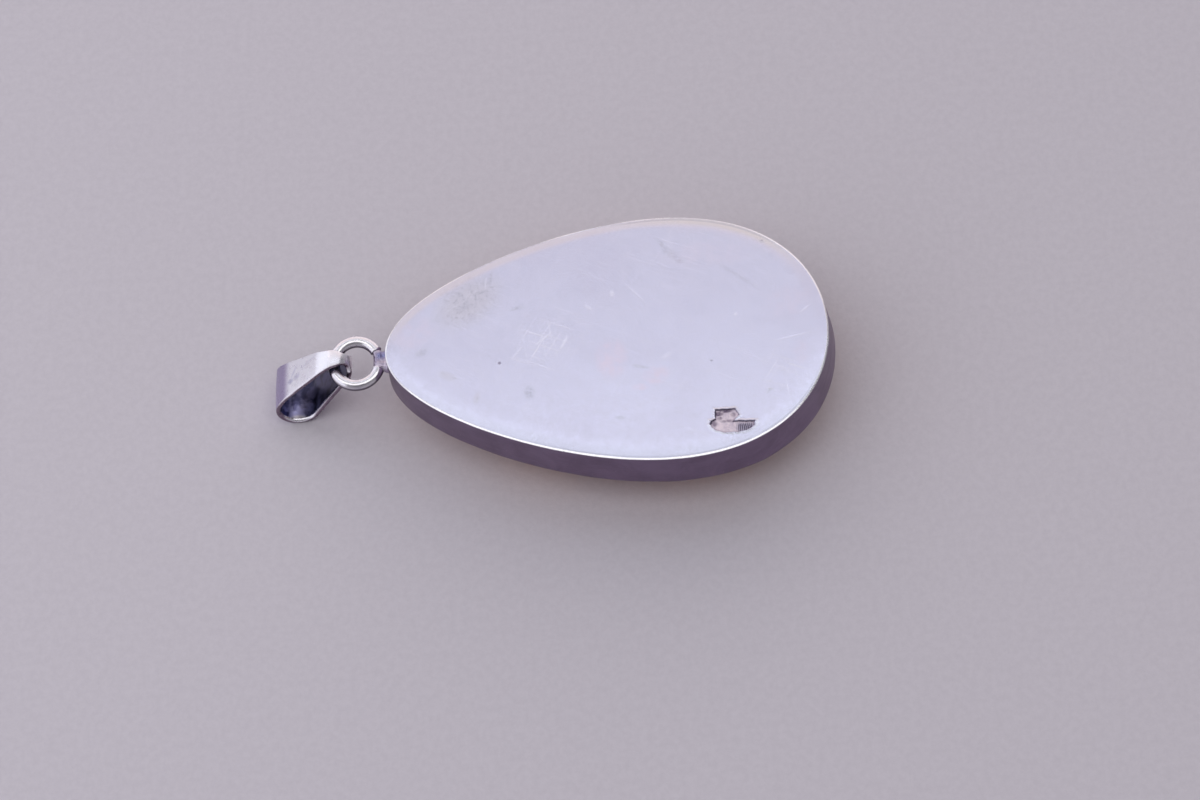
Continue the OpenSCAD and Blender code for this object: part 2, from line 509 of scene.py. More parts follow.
def rim_rows():
    """The rim's section, as outset and depth, from the back over the bevel to the wall."""
    roll = atan(ROLL_NEAR_BEND * ROLL_DROP / ROLL_NEAR_W)
    soft_w = BEVEL_SOFT / len(BEVEL_SOFT_SHARES)
    flat_w = (BEVEL_W - 2 * BEVEL_SOFT) / BEVEL_ROWS
    steps = [(roll + (BEVEL_TILT - roll) * s, soft_w) for s in BEVEL_SOFT_SHARES]
    steps += [(BEVEL_TILT, flat_w)] * BEVEL_ROWS
    out, depth = -BEVEL_W, ROLL_DROP
    rows = [(out, depth)]
    for tilt, width in steps:
        out, depth = out + width, depth + width * tan(tilt)
        rows.append((out, depth))
    radius = -out / (1 - sin(BEVEL_TILT))
    for a in np.linspace(BEVEL_TILT, pi / 2, RIM_ROWS)[1:]:
        drop = radius * (cos(BEVEL_TILT) - cos(a))
        rows.append((out + radius * (sin(a) - sin(BEVEL_TILT)), depth + drop))
    return rows


def wall_rows():
    """Rows of the section from the rim down the wall and round the lip, each with its kind."""
    rim = rim_rows()
    for out, depth in rim:
        yield out, depth, RIM
    top = rim[-1][1]
    for s in np.linspace(0, 1, WALL_ROWS)[1:-1]:
        yield WALL_FLARE * s, top + (WALL_DEPTH - top) * s, WALL
    for a in np.linspace(0, pi / 2, LIP_ROWS):
        yield WALL_FLARE - LIP_REACH * (1 - cos(a)), WALL_DEPTH + LIP_H * sin(a), WALL
    yield WALL_FLARE - LIP_REACH - LIP_EDGE_T, WALL_DEPTH + LIP_H - LIP_EDGE_H, WALL
    yield -WALL_T, WALL_DEPTH, WALL
    yield -WALL_T, BACK_T, WALL


def wall_unevenness(row, depth):
    """How far the metal of a row stands out of its true place."""
    nicked = NICKS_FAR + (1 - NICKS_FAR) * smoothstep(*NICKS_CHANGE, row[:, 1])
    nicks = waves(row, RIM_NICKS) * nicked * exp(-((depth / NICKS_DEPTH) ** 2))
    wall = waves(row, WALL_WAVES) * smoothstep(*WALL_WAVES_COME, depth)
    pressed = smoothstep(WALL_DEPTH, WALL_DEPTH + LIP_H, depth)
    return nicks + wall + waves(row, LIP_WAVES) * pressed


def back_edge():
    """The row of points where the back meets the bevel."""
    x, y = (OUTLINE - BEVEL_W * bevel_share()[:, None] * OUTWARD).T
    return np.column_stack([x + MIDDLE_X, y, BACK_Z + back_relief(x, y)])


def cup_mesh():
    points, faces = back_surface()
    kinds = [BACK] * len(faces)
    rows = [back_edge()]
    row_kinds = []
    for outset, depth, kind in list(wall_rows())[1:]:
        if kind == RIM:
            outset = outset * bevel_share()
        uneven = wall_unevenness(level(outset, depth), depth)
        rows.append(level(outset + uneven, depth))
        row_kinds.append(kind)
    first = len(points)
    sides = strip_faces(len(rows), AROUND)
    faces += [tuple(first + i for i in face) for face in sides]
    kinds += [row_kinds[i // AROUND] for i in range(len(sides))]
    centre = first + len(rows) * AROUND
    last = centre - AROUND
    faces += [(last + i, last + (i + 1) % AROUND, centre) for i in range(AROUND)]
    kinds += [WALL] * AROUND
    middle = [[MIDDLE_X, 0, BACK_Z - BACK_T]]
    return make_mesh("cup", np.concatenate([points, *rows, middle]), faces, kinds)


def ring_frame(a):
    """Centre of the wire at an angle, the direction out of the ring, and the ring's axis."""
    rise, run = sin(RING_LEAN), cos(RING_LEAN)
    out = np.array([cos(a), sin(a) * run, sin(a) * rise])
    return np.array([RING_X, 0, RING_Z]) + RING_R * out, out, np.array([0, -rise, run])


def wire_mesh(stations):
    """Round wire through stations, each a centre, two directions across and a radius."""
    count = WIRE_SIDES
    b = turns(count)
    rows = [
        centre + radius * (np.outer(np.cos(b), across) + np.outer(np.sin(b), up))
        for centre, across, up, radius in stations
    ]
    faces = strip_faces(len(rows), count)
    last = (len(rows) - 1) * count
    faces += [tuple(range(count)), tuple(last + i for i in range(count))]
    return make_mesh("ring", np.concatenate(rows), faces, [WIRE] * len(faces))


def ring_mesh():
    """The ring's wire, with softened edges at its two cut ends."""
    start = SOLDER_TURN + SOLDER_HALF
    length = (2 * pi - 2 * SOLDER_HALF) * RING_R
    soft = WIRE_END_L
    ends = [soft * (1 - cos(a)) for a in np.linspace(0, pi / 2, WIRE_END_ROWS)]
    between = np.linspace(soft, length - soft, WIRE_ROWS)
    along = [*ends[:-1], *between, *(length - e for e in ends[-2::-1])]
    stations = []
    for s in along:
        centre, out, axis = ring_frame(start + s / RING_R)
        left = min(s, length - s, soft)
        shrink = soft - sqrt(soft ** 2 - (soft - left) ** 2)
        wear = waves([centre], WIRE_WAVES)[0]
        stations.append((centre, out, axis, WIRE_R - WIRE_END_ROUND * shrink + wear))
    return wire_mesh(stations)


def solder_drops():
    """Centres and radii of the drops that the solder is melted from."""
    for s in np.linspace(-GAP_REACH, GAP_REACH, GAP_DROPS):
        centre, _, _ = ring_frame(SOLDER_TURN + s * SOLDER_HALF)
        yield centre, GAP_DROP_R + GAP_LUMP_H * sin(GAP_LUMPS * s)
    neck, _, _ = ring_frame(0)
    for out, radius in NECK_DROPS:
        for side in NECK_ACROSS:
            yield neck + [out, side * (1 + NECK_SPREAD * out), -NECK_SINK - NECK_SLOPE * out], radius


def solder_mesh():
    """The solder that ties the ring's ends together and to the wall."""
    bm = bmesh.new()
    for centre, radius in solder_drops():
        place = Matrix.Translation(Vector(centre))
        bmesh.ops.create_icosphere(bm, subdivisions=DROP_DETAIL, radius=radius, matrix=place)
    mesh = bpy.data.meshes.new("solder")
    bm.to_mesh(mesh)
    bm.free()
    made = make_object("solder", mesh)
    melt = made.modifiers.new("melt", "REMESH")
    melt.mode = "VOXEL"
    melt.voxel_size = MELT_VOXEL
    even = made.modifiers.new("even", "SMOOTH")
    even.factor = MELT_SMOOTH
    even.iterations = MELT_ROUNDS
    mesh = settled(made, "solder")
    mesh.polygons.foreach_set("material_index", [SOLDER] * len(mesh.polygons))
    return mesh


def near_line(d, line):
    """1 on a line along an outline, and less on both sides of it."""
    apart, half_width = line
    return np.exp(-(((d - apart) / half_width) ** 2))


def area(x, y, fades):
    """The share of an area, which fades in over stretches of x and y."""
    share = 1
    for axis, start, full in fades:
        share = share * smoothstep(start, full, x if axis == "x" else y)
    return share


def mark_line(x, y):
    """How strong the painted shade on the marks' outline is: strongest on the far side and towards the
    ring.
    """
    d = mark_distance(x, y)
    dx = mark_distance(x + SLOPE_STEP, y) - d
    dy = mark_distance(x, y + SLOPE_STEP) - d
    steepness = np.maximum(np.hypot(dx, dy), np.finfo(float).eps)
    facing = (LINE_FACES[1] * dy + LINE_FACES[0] * dx) / steepness
    return near_line(d, MARK_LINE) * np.clip(LINE_SHARE + LINE_CHANGE * facing, LINE_LEAST, 1)


def mark_shares(x, y):
    """How much shows of the marks' floors, ridges, outlines with painted shade and burrs with a
    painted highlight.
    """
    d = mark_distance(x, y)
    wave, shown = ridge_wave(x, y)
    floor = smoothstep(*FLOOR_SHOWS, -d)
    ridges = shown * floor
    groove = ridges * smoothstep(*GROOVE_SHOWS, wave)
    return {
        "mark_floor": floor,
        "mark_ridges": ridges,
        "mark_line": np.maximum(mark_line(x, y), GROOVE_DARK * groove),
        "mark_burr_highlight": near_line(d, MARK_BURR),
    }


def rim_shares(x, y):
    """How much shows of the painted shade in the crease along the rim, and of the painted warm
    reflection on its far side.
    """
    apart = rim_distance(x, y)
    creased = area(x, y, CREASE_NEAR) + area(x, y, CREASE_FAR)
    stained = WARM_REFLECTION_LEAST + (1 - WARM_REFLECTION_LEAST) * area(x, y, WARM_REFLECTION_STRONGER)
    return {
        "rim_crease_shade": near_line(apart, RIM_CREASE) * creased,
        "rim_warm_reflection": smoothstep(*WARM_REFLECTION_W, apart) * area(x, y, WARM_REFLECTION_FAR) * stained,
    }


def store_shares(mesh):
    """Keeps values at the mesh's points for the back's material, which reads them by name."""
    points = np.array([vertex.co for vertex in mesh.vertices])
    x, y = points[:, 0] - MIDDLE_X, points[:, 1]
    top = points[:, 2] > BACK_Z - BACK_T / 2
    for places, shares in ((top & near_marks(x, y), mark_shares), (top, rim_shares)):
        for name, found in shares(x[places], y[places]).items():
            values = np.zeros(len(points), np.float32)
            values[places] = found
            mesh.attributes.new(name, "FLOAT", "POINT").data.foreach_set("value", values)


def setting_piece():
    materials = [back_silver(), rim_silver(), wall_silver(), wire_silver(), solder_silver()]
    mesh = fused("silver_setting", materials, [cup_mesh(), solder_mesh(), ring_mesh()])
    store_shares(mesh)
    piece(mesh, "pendant", "setting")


# Shape of the stone


def amber_mesh():
    """The stone: a girdle inside the wall and a smooth dome down to a small flat."""
    count = STONE_AROUND
    full = acos(APEX_FLAT)
    margin = -WALL_T - STONE_GAP
    depths = (BACK_T + STONE_GAP, SHOULDER_DEPTH - GIRDLE_H)
    rows = [level(margin, depth, count) for depth in depths]
    base = level(margin, SHOULDER_DEPTH, count)
    apex = APEX_X + MIDDLE_X
    for a in np.linspace(0, full, DOME_ROWS):
        row = base.copy()
        row[:, 0] = apex + (base[:, 0] - apex) * cos(a)
        row[:, 1] *= cos(a)
        row[:, 2] = (BACK_Z - SHOULDER_DEPTH) * (1 - sin(a) / sin(full))
        row[:, 2] += waves(row, STONE_WAVES) * sin(2 * a)
        rows.append(row)
    faces = strip_faces(len(rows), count)
    last = (len(rows) - 1) * count
    ends = [rows[0].mean(0), rows[-1].mean(0)]
    top = len(rows) * count
    faces += [(i, (i + 1) % count, top) for i in range(count)]
    faces += [(last + i, last + (i + 1) % count, top + 1) for i in range(count)]
    return make_mesh("amber", np.concatenate([*rows, ends]), faces)


def amber_piece():
    mesh = fused("amber_stone", [amber()], [amber_mesh()])
    piece(mesh, "pendant", "amber_cabochon")


# Shape of the bail


def direction(angle):
    return np.array([cos(angle), sin(angle)])


def arc(middle, radius, start, end, count):
    """Stations along an arc, each a place and the direction out of the loop."""
    return [(middle + radius * direction(a), a) for a in np.linspace(start, end, count)]


def easing(middle, radius, ease, start, end, joint):
    """The arc that eases a side into a bend, which it meets at the joint."""
    centre = middle + (radius - ease.radius) * direction(joint)
    return arc(centre, ease.radius, start, end, EASE_STEPS)


def side_distance(radius, ease):
    """How far a straight side runs from the middle of its bend."""
    return radius * cos(ease.turn) + ease.radius * (1 - cos(ease.turn))


def side(start, end, turn, count):
    return [(start * (1 - s) + end * s, turn) for s in np.linspace(0, 1, count)[1:-1]]


def bail_path():
    """Stations along the strap's outer face, each a place and the direction out of the loop.

    The first number of a place runs from the ring to the chain, the second across the loop."""
    ring, chain = np.array([0, 0]), np.array([BAIL_L, 0])
    spread = side_distance(WIDE_R, WIDE_EASE) - side_distance(NARROW_R, NARROW_EASE)
    upper = pi / 2 + asin(spread / BAIL_L)
    lower = -pi / 2 - asin((WIDE_R - NARROW_R) / BAIL_L)
    ring_joint, chain_joint = upper + NARROW_EASE.turn, upper - WIDE_EASE.turn
    narrow = easing(ring, NARROW_R, NARROW_EASE, upper, ring_joint, ring_joint)[:-1]
    narrow += arc(ring, NARROW_R, ring_joint, lower + 2 * pi, NARROW_STEPS)
    wide = arc(chain, WIDE_R, lower, chain_joint, WIDE_STEPS)
    wide += easing(chain, WIDE_R, WIDE_EASE, chain_joint, upper, chain_joint)[1:]
    under = side(narrow[-1][0], wide[0][0], lower, LOWER_STEPS)
    over = side(wide[-1][0], narrow[0][0], upper, UPPER_STEPS)
    return narrow + under + wide + over


def strap_edges(u, turned):
    """Places of the strap's near and far edge at u along the loop.

    turned is the angle between the strap's outer face and that of the loop's upper side."""
    s = (u + NARROW_R) / (NARROW_R + BAIL_L + WIDE_R)
    half = (NARROW_W + (WIDE_W - NARROW_W) * s) / 2
    shares, near, far = zip(*STRAP_WIDTHS)
    tip = smoothstep(*TIP_START, turned) * (1 - smoothstep(*TIP_END, turned))
    lower = smoothstep(*LOWER_TURN, abs(turned)) * smoothstep(*LOWER_COMES, u)
    far_edge = half + np.interp(s, shares, far) + LOWER_FAR * lower - TIP_FAR * tip
    return TIP_NEAR * tip - half - np.interp(s, shares, near), far_edge


def outer_corner(half_w, drop):
    """The rounded corner that starts at a depth below the outer face's middle."""
    for a in np.linspace(0, pi / 2, OUTER_POINTS)[1:]:
        out, down = STRAP_OUTER_R * (1 - sin(a)), STRAP_OUTER_R * (1 - cos(a))
        yield half_w - out, drop + down, EDGE


def inner_corner(half_w, radius):
    """The rounded corner that ends on the inner face."""
    for a in np.linspace(0, pi / 2, INNER_POINTS):
        out, up = radius * (1 - cos(a)), radius * (1 - sin(a))
        yield half_w - out, STRAP_T - up, EDGE


def strap_section(near, far):
    """The strap cut across: places along its width with depths below the outer face."""
    middle, half_w = (near + far) / 2, (far - near) / 2
    inner_r = np.interp(half_w, (NARROW_W / 2, WIDE_W / 2), STRAP_INNER_R)
    section = []
    for share in np.linspace(-1, 1, FACE_POINTS):
        place = share * (half_w - STRAP_OUTER_R)
        section.append((place, STRAP_CROWN * (place / half_w) ** 2, OUTSIDE))
    edge = [*outer_corner(half_w, section[-1][1]), *inner_corner(half_w, inner_r)]
    section += edge
    for share in np.linspace(1, -1, FACE_POINTS)[1:-1]:
        section.append((share * (half_w - inner_r), STRAP_T, INSIDE))
    section += [(-place, depth, kind) for place, depth, kind in reversed(edge)]
    return [(middle + place, depth, kind) for place, depth, kind in section]


def bail_mesh():
    """The strap, swept round its path from where the joint holds it."""
    along = np.array([-cos(BAIL_DROP), 0, -sin(BAIL_DROP)])
    over = np.array([-sin(BAIL_DROP), 0, cos(BAIL_DROP)])
    across = np.array([0, 1, 0])
    path = bail_path()
    rows = []
    kinds = []
    for place, turn in path:
        for y, depth, kind in strap_section(*strap_edges(place[0], turn - pi / 2)):
            u, v = place - depth * direction(turn)
            rows.append(SWING + u * along + v * over + y * across)
            kinds.append(kind)
    faces = strip_faces(len(path), len(rows) // len(path), closed=True)
    return make_mesh("bail", rows, faces, kinds)


def bail_piece():
    mesh = fused("strap_bail", [bail_outside(), bail_edge(), bail_inside()], [bail_mesh()])
    piece(mesh, "bail", "bail")


# Materials

# The values that most of a noise takes, and a narrower middle of them
NOISE_RANGE = (0.3, 0.7)
NOISE_MIDDLE = (0.35, 0.65)
# How much a streak's noise is drawn out along it
STREAK_STRETCH = 0.22


class Nodes:
    """Short ways to add nodes to a material or a world and to join them."""

    def __init__(self, owner, shader):
        self.owner = owner
        owner.use_nodes = True
        self.tree = owner.node_tree
        self.shader = self.tree.nodes[shader]

    def set(self, **sockets):
        """Feeds the shader's sockets. An underscore in a word stands for a space."""
        for word, value in sockets.items():
            self.feed(self.shader.inputs[word.replace("_", " ")], value)

    def feed(self, socket, value):
        if isinstance(value, bpy.types.NodeSocket):
            self.tree.links.new(value, socket)
        elif isinstance(value, tuple) and len(value) == 3 and socket.type == "RGBA":
            socket.default_value = (*value, 1)
        else:
            socket.default_value = value

    def add(self, kind, feeds, output=0, **settings):
        """Adds a node with its settings, feeds its inputs and returns one output."""
        node = self.tree.nodes.new("ShaderNode" + kind)
        for word, value in settings.items():
            setattr(node, word, value)
        for key, value in feeds.items():
            self.feed(node.inputs[key], value)
        return node.outputs[output]

    def span(self, value, source, target=(0.0, 1.0)):
        """Maps the value from one range to another, smoothly and within its ends."""
        feeds = dict(enumerate((value, *source, *target)))
        return self.add("MapRange", feeds, interpolation_type="SMOOTHSTEP")


class Finish(Nodes):
    """A material of a surface, with its textures."""

    def __init__(self, name, **sockets):
        super().__init__(bpy.data.materials.new(name), "Principled BSDF")
        self.set(**sockets)

    def place(self, turn=(0, 0, 0), stretch=(1, 1, 1)):
        """Coordinates in millimetres, turned and stretched."""
        raw = self.add("TexCoord", {}, "Object")
        turned = self.add("Mapping", {0: raw, "Rotation": turn, "Scale": (1 / MM,) * 3})
        return self.add("VectorMath", {0: turned, 1: stretch}, operation="MULTIPLY")

    def along(self, axis):
        """The coordinate along one axis of the frame, in millimetres."""
        return self.add("SeparateXYZ", {0: self.place()}, axis)

    def upward(self):
        """How far the surface faces up, from -1 to 1, as the piece lies in the frame."""
        return self.add("SeparateXYZ", {0: self.add("TexCoord", {}, "Normal")}, "Z")

    def noise(self, scale, detail=4.0, roughness=0.6, distortion=0.0, place=None):
        """Noise from 0 to 1, with waves about 1 / scale long."""
        feeds = {"Vector": self.place() if place is None else place, "Scale": scale, "Detail": detail}
        feeds.update({"Roughness": roughness, "Distortion": distortion})
        return self.add("TexNoise", feeds, "Fac")

    def math(self, operation, first, *others):
        for other in others:
            first = self.add("Math", {0: first, 1: other}, operation=operation)
        return first

    def times(self, *values):
        return self.math("MULTIPLY", *values)

    def larger(self, *values):
        return self.math("MAXIMUM", *values)

    def stored(self, name):
        return self.add("Attribute", {}, "Fac", attribute_name=name)

    def mix(self, share, a, b):
        return self.add("Mix", {0: share, 6: a, 7: b}, 2, data_type="RGBA")

    def cover(self, colour, over, share, strength):
        """Covers a colour with another, by a share times a strength."""
        return self.mix(self.times(share, strength), colour, over)

    def patch(self, patch, soft):
        """The share of an oval patch, whose border is soft by a part of its size."""
        x, y, length, width, degrees, share = patch
        x += MIDDLE_X
        turn = -radians(degrees)
        along = (x * cos(turn) - y * sin(turn)) / length
        across = (x * sin(turn) + y * cos(turn)) / width
        place = self.place((0, 0, turn), (1 / length, 1 / width, 0))
        away = self.add("VectorMath", {0: place, 1: (along, across, 0)}, "Value", operation="DISTANCE")
        return self.span(away, (1 + soft, 1 - soft), (0.0, share))

    def patches(self, table, soft):
        """The share of the strongest patch of a table at each place."""
        return self.larger(*[self.patch(row, soft) for row in table])

    def streaks(self, angle, fineness, shown):
        """Thin straight scratches at an angle to the long axis."""
        place = self.place((0, 0, radians(angle)), (STREAK_STRETCH, fineness, 1))
        return self.span(self.noise(scale=1.0, detail=3.0, place=place), shown)

    def bump(self, height, depth):
        """Relief of a depth in millimetres."""
        self.set(Normal=self.add("Bump", {"Distance": depth * MM, "Height": height}, "Normal"))

    def finished(self, colour, relief, depth, rough):
        """The material, with a roughness that follows its relief."""
        self.bump(relief, depth)
        self.set(Base_Color=colour, Roughness=self.span(relief, NOISE_RANGE, rough))
        return self.owner


def silver(name):
    return Finish(name, Metallic=1.0)


# Oval patches: place from the back's middle, half length and width, turn in degrees, strength
SMUDGE = [
    (-11.6, 4.3, 2.6, 1.7, 36, 1.0),
    (-13.3, -2.6, 0.7, 0.35, -25, 0.6),
    (-10.8, -4.8, 0.25, 0.5, -14, 0.5),
]
GREY_SPOTS = [
    (-15.4, -0.3, 0.4, 0.3, 20, 0.64),
    (-6.45, -4.55, 0.36, 0.46, 0, 0.8),
    (-12.25, 5.0, 0.25, 0.25, 0, 0.64),
    (-10.3, 5.1, 0.5, 0.14, 13, 0.72),
    (-9.6, 6.3, 0.5, 0.12, 80, 0.56),
    (-11.9, 3.7, 0.7, 0.3, 19, 0.56),
    (-7.4, 3.4, 0.5, 0.14, 13, 0.48),
    (4.9, 8.7, 0.6, 0.2, -56, 0.45),
    (5.6, 7.8, 0.8, 0.3, -46, 0.4),
    (6.3, 7.1, 0.35, 0.25, -26, 0.4),
    (11.2, 5.3, 1.6, 0.16, -39, 0.28),
    (13.3, 8.5, 0.2, 0.14, 0, 0.5),
    (2.8, -2.7, 0.5, 0.12, -12, 0.6),
    (1.0, -7.3, 0.35, 0.14, 0, 0.48),
    (13.4, -5.5, 0.3, 0.17, 30, 0.4),
]
DARK_DOTS = [
    (-8.9, -1.65, 0.13, 0.13, 0, 0.8),
    (8.7, -2.5, 0.1, 0.1, 0, 0.4),
    (13.3, 8.55, 0.08, 0.07, 0, 0.25),
]
PINK_PATCHES = [
    (0.45, -1.8, 1.2, 1.6, 0, 1.0),
    (4.1, -3.6, 1.0, 0.75, 19, 0.9),
    (2.8, -4.6, 0.7, 0.3, 0, 0.8),
    (15.3, 2.7, 1.8, 1.4, 30, 0.35),
    (16.1, -2.1, 0.7, 1.0, 0, 0.35),
    (8.7, 7.5, 3.2, 1.1, 0, 0.25),
    (-16.0, 1.4, 1.8, 1.3, 30, 0.45),
]
SCRATCHES = [
    (-5.2, 0.4, 0.8, 0.09, 39, 0.53),
    (-3.5, -0.1, 0.65, 0.12, 63, 0.55),
    (-1.4, 3.1, 0.4, 0.14, -36, 0.4),
    (-7.4, -0.75, 0.75, 0.08, 51, 0.35),
    (0.6, 4.3, 0.2, 0.3, 0, 0.53),
    (2.5, 4.3, 1.3, 0.07, -48, 0.29),
    (5.0, -1.8, 0.5, 0.2, 30, 0.29),
    (10.85, 1.7, 0.15, 0.15, 0, 0.55),
    (16.6, 1.85, 0.5, 0.09, 38, 0.4),
    (15.5, -0.65, 1.4, 0.08, 12, 0.35),
    (-10.0, 6.0, 0.5, 0.08, 85, 0.47),
]
WORN_PATCHES = [
    (14.5, -4.1, 1.8, 2.4, 0, 1.0),
    (-5.0, 0.0, 4.5, 2.6, 30, 0.8),
    (6.0, 8.0, 5.0, 2.0, 0, 0.5),
]
MARK_SHADES = [
    (9.12, -7.42, 0.36, 0.2, 0, 1.0),
    (9.65, -7.2, 0.55, 0.14, 0, 0.9),
    (9.2, -7.85, 0.2, 0.16, 0, 0.8),
    (10.3, -7.55, 0.22, 0.2, 0, 0.5),
    (9.85, -8.08, 0.6, 0.1, 0, 0.5),
    (8.75, -8.3, 0.2, 0.25, 0, 0.6),
]

# Colours of the back, and how strongly its specks show. The grey serves stains and the painted shade
# in the rim's crease; the light serves wear and the painted highlight on the marks' burrs
SILVER_COOL, SILVER_DULL = (0.765, 0.775, 0.912), (0.725, 0.725, 0.86)
# The colour of a painted warm reflection along the far rim
RIM_WARM_REFLECTION = (0.775, 0.765, 0.79)
STAIN_AND_SHADE_GREY, STAIN_BROWN = (0.55, 0.56, 0.64), (0.69, 0.67, 0.71)
DOT_DARK = (0.3, 0.28, 0.36)
PINK, WEAR_AND_BURR_HIGHLIGHT = (0.8, 0.75, 0.87), (0.92, 0.93, 1.0)
SPECK_SHARE = 0.75
# How high the grain is against the depth of the scratches
GRAIN_SHARE = 0.35
# Faint scratches: their directions, each with its angle, its fineness and the part of the noise
# that shows, how strong they are, and how much of them shows outside the worn patches
STREAKS = [(24, 9.0, (0.6, 0.7)), (-58, 8.0, (0.62, 0.72)), (81, 10.0, (0.62, 0.72))]
FAINT_SHARE = 0.8
FAINT_LEAST = 0.25

# Colours of the punch marks, and how much rougher their floors are
MARK_PINK, MARK_GREY, MARK_DARK = (0.8, 0.71, 0.77), (0.62, 0.55, 0.64), (0.1, 0.07, 0.13)
MARK_BLUE = (0.4, 0.41, 0.54)
FLOOR_ROUGHER = 0.2


def back_silver():
    """Satin silver with wear, stains and the marks, painted shade in the rim's crease and a painted
    warm reflection at the far rim.
    """
    f = silver("silver_back")
    fine = f.noise(scale=1.4, detail=6.0, roughness=0.65)
    worn = back_wear(f)
    colour = back_stains(f, back_base(f, fine))
    colour = f.cover(colour, WEAR_AND_BURR_HIGHLIGHT, worn, strength=0.8)
    # Painted shade along the crease inside the rim
    colour = f.cover(colour, STAIN_AND_SHADE_GREY, f.stored("rim_crease_shade"), strength=0.7)
    rough = f.span(fine, (0.25, 0.75), (0.19, 0.26))
    rough = f.math("ADD", rough, f.times(f.stored("mark_floor"), FLOOR_ROUGHER))
    f.bump(f.math("SUBTRACT", f.times(fine, GRAIN_SHARE), worn), depth=0.003)
    f.set(Base_Color=back_marks(f, colour), Roughness=rough)
    return f.owner


def back_base(f, fine):
    """Cool and dull silver in clouds and fine grit, a painted warm reflection at the far rim, with
    pink patches.
    """
    cloud = f.noise(scale=0.16, detail=3.0, roughness=0.5, distortion=0.4)
    grit = f.noise(scale=5.0, detail=3.0, roughness=0.7)
    dull = f.times(f.math("ADD", f.span(cloud, (0.35, 0.7)), f.span(grit, (0.4, 0.6))), 0.5)
    colour = f.mix(dull, SILVER_COOL, SILVER_DULL)
    # A painted warm reflection along the far rim
    colour = f.mix(f.stored("rim_warm_reflection"), colour, RIM_WARM_REFLECTION)
    pink = f.times(f.patches(PINK_PATCHES, soft=0.4), f.span(fine, (0.36, 0.6), (0.3, 1.0)))
    return f.mix(pink, colour, PINK)


def back_stains(f, colour):
    """A brownish smudge full of specks, broken grey spots and dark dots."""
    smudge = f.patches(SMUDGE, soft=0.6)
    specks = f.span(f.noise(scale=2.4, roughness=0.7), (0.5, 0.62))
    colour = f.cover(colour, STAIN_BROWN, smudge, strength=0.6)
    grey = f.larger(f.patches(GREY_SPOTS, soft=0.8), f.times(smudge, specks, SPECK_SHARE))
    broken = f.span(f.noise(scale=6.0, detail=3.0, roughness=0.7), (0.42, 0.58), (0.3, 1.0))
    colour = f.mix(f.times(grey, broken), colour, STAIN_AND_SHADE_GREY)
    return f.mix(f.patches(DARK_DOTS, soft=0.4), colour, DOT_DARK)


def back_wear(f):
    """Single scratches, and patches of fine ones in three directions."""
    places = f.larger(f.patches(WORN_PATCHES, soft=0.6), FAINT_LEAST)
    faint = f.times(f.larger(*[f.streaks(*row) for row in STREAKS]), places, FAINT_SHARE)
    return f.larger(f.patches(SCRATCHES, soft=0.4), faint)


def back_marks(f, colour):
    """The marks: mottled pinkish floors with patches of shade, bluish ridges, outlines with painted
    shade and burrs with a painted highlight.
    """
    mottle = f.noise(scale=2.6, roughness=0.65, distortion=0.4)
    floor = f.mix(f.span(mottle, NOISE_MIDDLE), MARK_PINK, MARK_GREY)
    shade = f.times(f.patches(MARK_SHADES, soft=0.5), f.span(mottle, (0.35, 0.55), (0.5, 1.0)))
    floor = f.mix(shade, floor, MARK_DARK)
    floor = f.cover(floor, MARK_BLUE, f.stored("mark_ridges"), strength=0.6)
    # Painted highlight on the burrs round the marks
    colour = f.cover(colour, WEAR_AND_BURR_HIGHLIGHT, f.stored("mark_burr_highlight"), strength=0.45)
    colour = f.mix(f.stored("mark_floor"), colour, floor)
    # Painted shade on the marks' outlines, with the darker grooves between the ridges
    return f.cover(colour, MARK_DARK, f.stored("mark_line"), strength=0.85)


RIM_DULL, RIM_BRIGHT = (0.82, 0.81, 0.86), (0.93, 0.93, 0.96)


def rim_silver():
    """The rim, rubbed bright."""
    f = silver("silver_rim")
    grain = f.noise(scale=1.6)
    colour = f.mix(f.span(grain, (0.3, 0.6)), RIM_DULL, RIM_BRIGHT)
    return f.finished(colour, grain, depth=0.003, rough=(0.2, 0.3))


# The wall's mauve-greys: tarnish, darkened further as a painted reflection of a dark floor
WALL_DARK, WALL_LIGHT = (0.195, 0.14, 0.215), (0.25, 0.185, 0.28)
WALL_UNDER_SHADE, WALL_RUBBED = (0.15, 0.12, 0.17), (0.75, 0.72, 0.78)


def wall_silver():
    """The wall and the lip: mauve-grey tarnish, darkened further as a painted reflection of a dark
    floor, with painted shade where they face down and file marks along them.
    """
    f = silver("silver_wall")
    filed = f.noise(scale=1.0, place=f.place(stretch=(0.5, 0.5, 9.0)))
    cloud = f.noise(scale=0.35, distortion=0.5)
    rubbed = f.span(f.noise(scale=3.0, detail=3.0, roughness=0.7), (0.68, 0.78))
    colour = f.mix(f.span(cloud, NOISE_RANGE), WALL_DARK, WALL_LIGHT)
    # Painted shade where the wall and the lip face down
    colour = f.cover(colour, WALL_UNDER_SHADE, f.span(f.upward(), (-0.1, -0.8)), strength=0.6)
    colour = f.cover(colour, WALL_RUBBED, rubbed, strength=0.5)
    return f.finished(colour, filed, depth=0.006, rough=(0.28, 0.42))


WIRE_BRIGHT, WIRE_DULL = (0.88, 0.86, 0.9), (0.76, 0.74, 0.8)
WIRE_UNDER_SHADE = (0.07, 0.055, 0.085)


